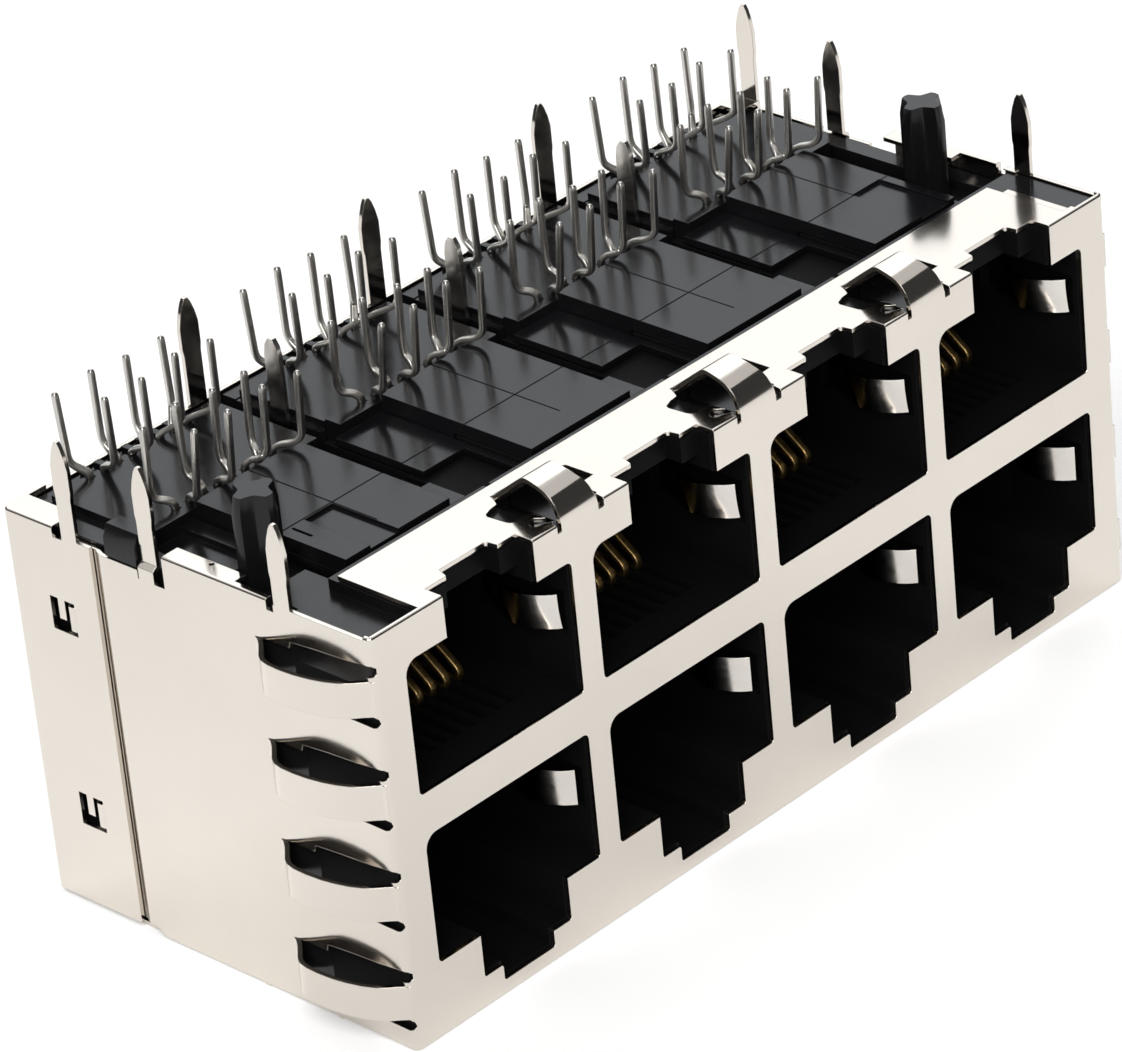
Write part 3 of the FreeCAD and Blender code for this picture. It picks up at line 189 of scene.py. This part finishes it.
def moulded(name, base, lift, gloss, edge):
    """Glass-filled moulding: near black and satin on its faces. In the ports, in the key slots, on the roof between the
    tiles and in the pit behind the flange it gets painted shade: darker, rougher and with little specular."""
    m = Mat(name)
    spark = m.noise(7000.0, 2.0, 0.6)
    wave = m.noise(160.0, 3.0, 0.5)
    smear = m.noise(420.0, 4.0, 0.6, m.stretch(1.0, 0.35, 1.0, (0, 0, 0.5)))
    x, y, z = m.axis(0), m.axis(1), m.axis(2)
    # distance from the middle of the column that the point is in
    u = m.math("SUBTRACT", m.math("MULTIPLY", m.math("FRACT", m.math("DIVIDE", m.math("ADD", x, 0.02794), 0.01397)), 0.01397), 0.006985)
    front = m.math("LESS_THAN", y, (FY + 6.05) * MM)
    low = m.math("LESS_THAN", z, 0.0236)
    slot = m.math("MULTIPLY", m.math("GREATER_THAN", u, -0.00352), m.math("LESS_THAN", u, 0.00425))
    inside = m.math("MULTIPLY", front, m.math("MAXIMUM", low, slot))
    gap = m.math("MULTIPLY", m.math("MULTIPLY", m.math("LESS_THAN", z, 0.02330), m.math("LESS_THAN", y, (FY + 12.6) * MM)),
                 m.math("LESS_THAN", m.math("ABSOLUTE", x), 0.0243))
    ends = m.math("MULTIPLY", m.math("GREATER_THAN", m.math("ABSOLUTE", x), 0.0250), m.math("GREATER_THAN", z, 0.0215))
    behind = m.math("MULTIPLY", m.math("MULTIPLY", m.math("GREATER_THAN", y, (FY + 5.8) * MM), m.math("LESS_THAN", y, (FY + 7.12) * MM)),
                    m.math("MULTIPLY", m.math("LESS_THAN", z, 0.02425), m.math("LESS_THAN", m.math("ABSOLUTE", x), 0.0252)))
    # painted shade: marks the recesses (ports, key slots, roof between the tiles, pit behind the flange) that are
    # darkened and dulled below
    matt_painted_shade = m.math("MULTIPLY", m.math("MAXIMUM", inside, m.math("MAXIMUM", gap, behind)), m.math("SUBTRACT", 1.0, ends), True)
    tone = m.mix(m.span(wave, 0.3, 0.7, 0.0, 1.0), base, lift)
    # painted shade: the marked recesses take a darker colour
    tone = m.mix(matt_painted_shade, tone, (0.0036, 0.0036, 0.0038))
    rough = m.math("ADD", m.span(smear, 0.3, 0.7, gloss - 0.04, gloss + 0.06), m.span(spark, 0.35, 0.65, -0.02, 0.03))
    rough = m.math("ADD", rough, m.math("MULTIPLY", matt_painted_shade, 0.35))
    m.set(Base_Color=tone, Roughness=rough, IOR=1.47)
    m.put(m.span(matt_painted_shade, 0.0, 1.0, 0.26, 0.05), m.b.inputs["Specular IOR Level"])
    m.set(Normal=m.bump(spark, 0.08, 0.000012, m.bump(wave, 0.08, 0.00008, m.edge(edge))))
    return m.m


def contact_look():
    """Gilded at the port end, tinned where the pin goes through the board."""
    m = Mat("contact_metal_look")
    z = m.axis(2)
    tin = m.span(z, 0.0225, 0.0232, 0.0, 1.0)
    dull = m.noise(2400.0, 4.0, 0.65)
    streak = m.noise(1500.0, 3.0, 0.6, m.stretch(1.0, 1.0, 0.2))
    gold = m.mix(m.span(dull, 0.3, 0.7, 0.0, 1.0), (0.42, 0.28, 0.105), (0.52, 0.36, 0.15))
    grey = m.mix(m.span(streak, 0.3, 0.7, 0.0, 1.0), (0.50, 0.485, 0.455), (0.62, 0.60, 0.565))
    m.set(Base_Color=m.mix(tin, gold, grey), Metallic=1.0)
    m.set(Roughness=m.math("SUBTRACT", m.span(dull, 0.3, 0.7, 0.32, 0.42), m.math("MULTIPLY", tin, 0.05)))
    m.set(Normal=m.bump(streak, 0.05, 0.00002))
    return m.m


LOOK = {
    "shield_plate": shield_metal(),
    "spring_plate": spring_metal(),
    "housing_plastic": moulded("housing_plastic_look", (0.0042, 0.0042, 0.0046), (0.0062, 0.0061, 0.0066), 0.20, 0.00004),
    "carrier_plastic": moulded("carrier_plastic_look", (0.0046, 0.0045, 0.0052), (0.0070, 0.0068, 0.0078), 0.17, 0.00005),
    "contact_metal": contact_look(),
}

slots = {s["node"]: s["material_slot"] for s in frame["record"]["subparts"]}
for name, obj in NODES.items():
    look = LOOK[slots[name]]
    if obj.data.materials:
        for i in range(len(obj.data.materials)):
            obj.data.materials[i] = look
    else:
        obj.data.materials.append(look)


# ------------------------------------------------------------ pieces
def show(name, me, node):
    """Puts a piece in the place of one node of the frame."""
    o = bpy.data.objects.new(name, me)
    scene.collection.objects.link(o)
    me.materials.clear()
    me.materials.append(LOOK[slots[node]])
    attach(o, "root")
    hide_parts(node)
    return o


def smooth_copy(node, angle=32.0, weld=0.0000015, twist=False):
    """The node's own surface, shaded smooth over its bends and sharp at its edges."""
    me = NODES[node].data.copy()
    me.name = node + "_skin"
    if "custom_normal" in me.attributes:
        me.attributes.remove(me.attributes["custom_normal"])
    bm = bmesh.new()
    bm.from_mesh(me)
    bmesh.ops.remove_doubles(bm, verts=bm.verts, dist=weld)
    bmesh.ops.dissolve_degenerate(bm, edges=bm.edges, dist=0.0000005)
    if twist:
        # the upper ground tab leans in a little towards its lower edge, as formed
        z0, h = 18.0, 2.12
        for k in range(1, 6):
            bmesh.ops.bisect_plane(bm, geom=bm.verts[:] + bm.edges[:] + bm.faces[:], plane_co=(0, 0, (z0 + h * k / 6) * MM), plane_no=(0, 0, 1))
        mid = sum(v.co.x for v in bm.verts if v.co.y > (FY + 8) * MM) / max(1, sum(1 for v in bm.verts if v.co.y > (FY + 8) * MM))
        for v in bm.verts:
            z, y = v.co.z / MM, v.co.y / MM - FY
            if z0 - 0.02 < z < z0 + h + 0.02 and y < 5.6 and v.co.x < mid - 0.0003:
                v.co.x += 0.2 * MM * ((z0 + h - z) / h) ** 2
    bm.to_mesh(me)
    bm.free()
    me.shade_smooth()
    me.set_sharp_from_angle(angle=math.radians(angle))
    o = show(node + "_skin", me, node)
    w = o.modifiers.new("weighted", "WEIGHTED_NORMAL")
    w.keep_sharp = True
    w.weight = 70
    return o


def rounded_path(stations, reach):
    """Stations (x, y, z, width, thickness) with each corner turned into a small curve."""
    pts = [(Vector(s[:3]), s[3], s[4]) for s in stations]
    out = [pts[0]]
    for i in range(1, len(pts) - 1):
        p, w, h = pts[i]
        a, b = pts[i - 1][0] - p, pts[i + 1][0] - p
        turn = math.degrees(math.pi - a.angle(b))
        if turn < 1.5:
            out.append(pts[i])
            continue
        ra, rb = min(reach, a.length * 0.48), min(reach, b.length * 0.48)
        pa, pb = p + a.normalized() * ra, p + b.normalized() * rb
        wa, ha = w + (pts[i - 1][1] - w) * ra / a.length, h + (pts[i - 1][2] - h) * ra / a.length
        wb, hb = w + (pts[i + 1][1] - w) * rb / b.length, h + (pts[i + 1][2] - h) * rb / b.length
        steps = max(2, min(8, int(turn / 7.0) + 1))
        for k in range(steps + 1):
            t = k / steps
            q = pa * (1 - t) ** 2 + p * 2 * t * (1 - t) + pb * t ** 2
            out.append((q, wa * (1 - t) + wb * t, ha * (1 - t) + hb * t))
    out.append(pts[-1])
    clean = [out[0]]
    for q in out[1:]:
        if (q[0] - clean[-1][0]).length > 0.012:
            clean.append(q)
    return clean


def sweep(bm, path, corner=0.30, per=3):
    """Sweeps a rounded rectangle along the path, its width lying as near to X as it can."""
    rings = []
    n = len(path)
    for i, (p, w, h) in enumerate(path):
        t = (path[min(i + 1, n - 1)][0] - path[max(i - 1, 0)][0]).normalized()
        wide = (Vector((1, 0, 0)) - t * t.x).normalized()
        deep = t.cross(wide)
        r = min(w, h) * corner
        ring = []
        for sx, sy, a0 in ((1, 1, 0), (-1, 1, 90), (-1, -1, 180), (1, -1, 270)):
            for k in range(per + 1):
                a = math.radians(a0 + 90.0 * k / per)
                u = sx * (w / 2 - r) + r * math.cos(a)
                v = sy * (h / 2 - r) + r * math.sin(a)
                ring.append(bm.verts.new((p + wide * u + deep * v) * MM))
        rings.append(ring)
    m = len(rings[0])
    for r0, r1 in zip(rings, rings[1:]):
        for e in range(m):
            f = (e + 1) % m
            bm.faces.new((r0[e], r0[f], r1[f], r1[e])).smooth = True
    bm.faces.new(list(reversed(rings[0])))
    bm.faces.new(rings[-1])


# where each pin stands above its foot and where it ends, (x, y, x, y) from the
# middle of its column and the port face, as in the part
ROW_A = [(-4.43, 25.98, -4.49, 26.25), (-1.71, 26.29, -1.58, 26.54), (0.66, 26.12, 0.63, 26.17), (3.28, 26.07, 3.16, 26.11)]
ROW_B = [(-3.2, 23.68, -3.33, 23.67), (-0.6, 23.66, -0.69, 23.6), (2.26, 24.21, 2.25, 24.12), (4.47, 23.73, 4.43, 23.65)]
ROW_C = [(-4.59, 19.55, -4.50, 19.57), (-1.63, 19.99, -1.66, 20.04), (0.58, 19.66, 0.54, 19.53), (2.93, 19.69, 2.85, 19.5)]
ROW_D = [(-3.29, 17.38, -3.2, 17.06), (-0.81, 17.29, -0.7, 17.12), (2.18, 17.66, 2.26, 17.54), (4.4, 17.29, 4.4, 17.08)]
PITCH = 13.97
WIRE_W, WIRE_T = 0.46, 0.32


def turn(cy, cz, r, a0, a1, steps):
    return [(cy + r * math.cos(math.radians(a0 + (a1 - a0) * i / steps)), cz + r * math.sin(math.radians(a0 + (a1 - a0) * i / steps)))
            for i in range(steps + 1)]


def wire(bm, cx, i, upper):
    xl = 1.02 * (i - 3.5)
    yc = 18.9 if upper else 25.4
    rear, front = (ROW_C, ROW_D) if upper else (ROW_A, ROW_B)
    bx, by, tx, ty = (rear if i % 2 == 0 else front)[i // 2]
    plast = 24.25 if upper else 24.05
    zb, top = 25.45, 29.2
    s = 1.0 if upper else -1.0
    zr = 14.47 - 0.24 if upper else 11.99 + 0.24
    st = [(11.6, zr + s * 3.05), (10.9, zr + s * 3.25), (10.4, zr + s * 3.32), (9.9, zr + s * 3.2), (9.45, zr + s * 2.98)]
    st += turn(6.95, zr + s * 0.52, 0.5, s * 128, s * 258, 10)
    st += [(7.4, zr)]
    st += turn(yc - 0.55, zr + 0.55, 0.55, -90, 0, 6)
    st = [(cx + xl, FY + y, z, WIRE_W, WIRE_T) for y, z in st]
    st.append((cx + xl, FY + yc, plast, WIRE_W, WIRE_T))
    for along, z, w in ((0.12, plast + 0.24, 0.44), (0.34, plast + 0.44, 0.42), (0.76, zb - 0.62, 0.39), (0.93, zb - 0.36, 0.38)):
        st.append((cx + xl + (bx - xl) * along, FY + yc + (by - yc) * along, z, w, WIRE_T))
    st.append((cx + bx, FY + by, zb, 0.38, 0.36))
    for up, k in ((0.45, 1.0), (0.22, 0.97), (0.12, 0.88), (0.05, 0.70), (0.012, 0.48), (0.0, 0.25)):
        f = (top - up - zb) / (top - zb)
        st.append((cx + bx + (tx - bx) * f, FY + by + (ty - by) * f, top - up, 0.38 * k, 0.36 * k))
    path = rounded_path(st[:-6], 0.3)
    path += [(Vector(q[:3]), q[3], q[4]) for q in st[-6:]]
    sweep(bm, path)


for k in range(4):
    for upper in (True, False):
        node = "%s_contacts_%d" % ("upper" if upper else "lower", k + 1)
        bm = bmesh.new()
        for i in range(8):
            wire(bm, PITCH * (k - 1.5), i, upper)
        me = bpy.data.meshes.new(node + "_wires")
        bm.to_mesh(me)
        bm.free()
        show(node + "_wires", me, node)

for node in ["front_shield", "rear_shield", "housing"]:
    smooth_copy(node)
for node in ["divider_plate_1", "divider_plate_2", "divider_plate_3", "end_spring_plate"]:
    smooth_copy(node, twist=True)
for k in (1, 2, 3, 4):
    for kind in ("upper_carrier", "lower_carrier", "lead_retainer"):
        smooth_copy("%s_%d" % (kind, k))

# ------------------------------------------------------------ camera
cam_data = bpy.data.cameras.new("camera")
cam_data.sensor_width = 36.0
cam_data.sensor_fit = "HORIZONTAL"
cam_data.lens = 202.67
cam_data.clip_start = 0.01
cam_data.clip_end = 20.0
cam = bpy.data.objects.new("camera", cam_data)
scene.collection.objects.link(cam)
RX = Vector((0.674545, -0.732955, -0.088124))
RY = Vector((0.411564, 0.274270, 0.869133))
RZ = Vector((-0.612865, -0.622538, 0.486665))
rot = Matrix((RX, RY, RZ)).transposed().to_4x4()
cam.matrix_world = Matrix.Translation(Vector((-213.053, -200.940 + FY, 181.695)) * MM) @ rot
scene.camera = cam

# ------------------------------------------------------------ floor and light
def floor_piece():
    bm = bmesh.new()
    bmesh.ops.create_circle(bm, cap_ends=True, radius=4.0, segments=96)
    me = bpy.data.meshes.new("floor")
    bm.to_mesh(me)
    bm.free()
    o = bpy.data.objects.new("floor", me)
    o.location = (0, 0, -0.00002)
    scene.collection.objects.link(o)
    m = Mat("floor_look")
    tone = m.mix(m.span(m.noise(3.0), 0.3, 0.7, 0.0, 1.0), (0.87, 0.87, 0.87), (0.89, 0.89, 0.89))
    m.set(Base_Color=tone, Roughness=0.9)
    m.set(Emission_Color=(1.0, 1.0, 1.0, 1.0), Emission_Strength=0.15)
    m.b.inputs["Specular IOR Level"].default_value = 0.1
    me.materials.append(m.m)
    return o


floor_piece()


def softbox(name, at, towards, size, power, colour=(1, 1, 1), size_y=None):
    d = bpy.data.lights.new(name, "AREA")
    d.energy = power
    d.color = colour
    if size_y:
        d.shape = "RECTANGLE"
        d.size_y = size_y
    d.size = size
    o = bpy.data.objects.new(name, d)
    o.location = at
    o.rotation_euler = (Vector(towards) - Vector(at)).to_track_quat("-Z", "Y").to_euler()
    scene.collection.objects.link(o)
    return o


softbox("back_box", (0.75, 0.80, 0.62), (0, 0, 0.02), 1.1, 5.85, (0.965, 1.0, 1.03))
softbox("key_box", (-1.05, -0.85, 1.15), (0, 0, 0), 1.3, 36.0)
softbox("ceiling", (0.2, 0.5, 1.3), (0.2, 0.5, 0.0), 2.4, 12.5)

world = bpy.data.worlds.new("studio")
world.use_nodes = True
scene.world = world
wt = world.node_tree
wt.nodes.clear()
w_out = wt.nodes.new("ShaderNodeOutputWorld")
w_bg = wt.nodes.new("ShaderNodeBackground")
w_cam = wt.nodes.new("ShaderNodeBackground")
w_cam.inputs[0].default_value = (0.93, 0.93, 0.93, 1)
w_cam.inputs[1].default_value = 1.0
w_bg.inputs[0].default_value = (1, 1, 1, 1)
w_bg.inputs[1].default_value = 0.05
w_path = wt.nodes.new("ShaderNodeLightPath")
w_mix = wt.nodes.new("ShaderNodeMixShader")
wt.links.new(w_path.outputs["Is Camera Ray"], w_mix.inputs[0])
wt.links.new(w_bg.outputs[0], w_mix.inputs[1])
wt.links.new(w_cam.outputs[0], w_mix.inputs[2])
wt.links.new(w_mix.outputs[0], w_out.inputs[0])
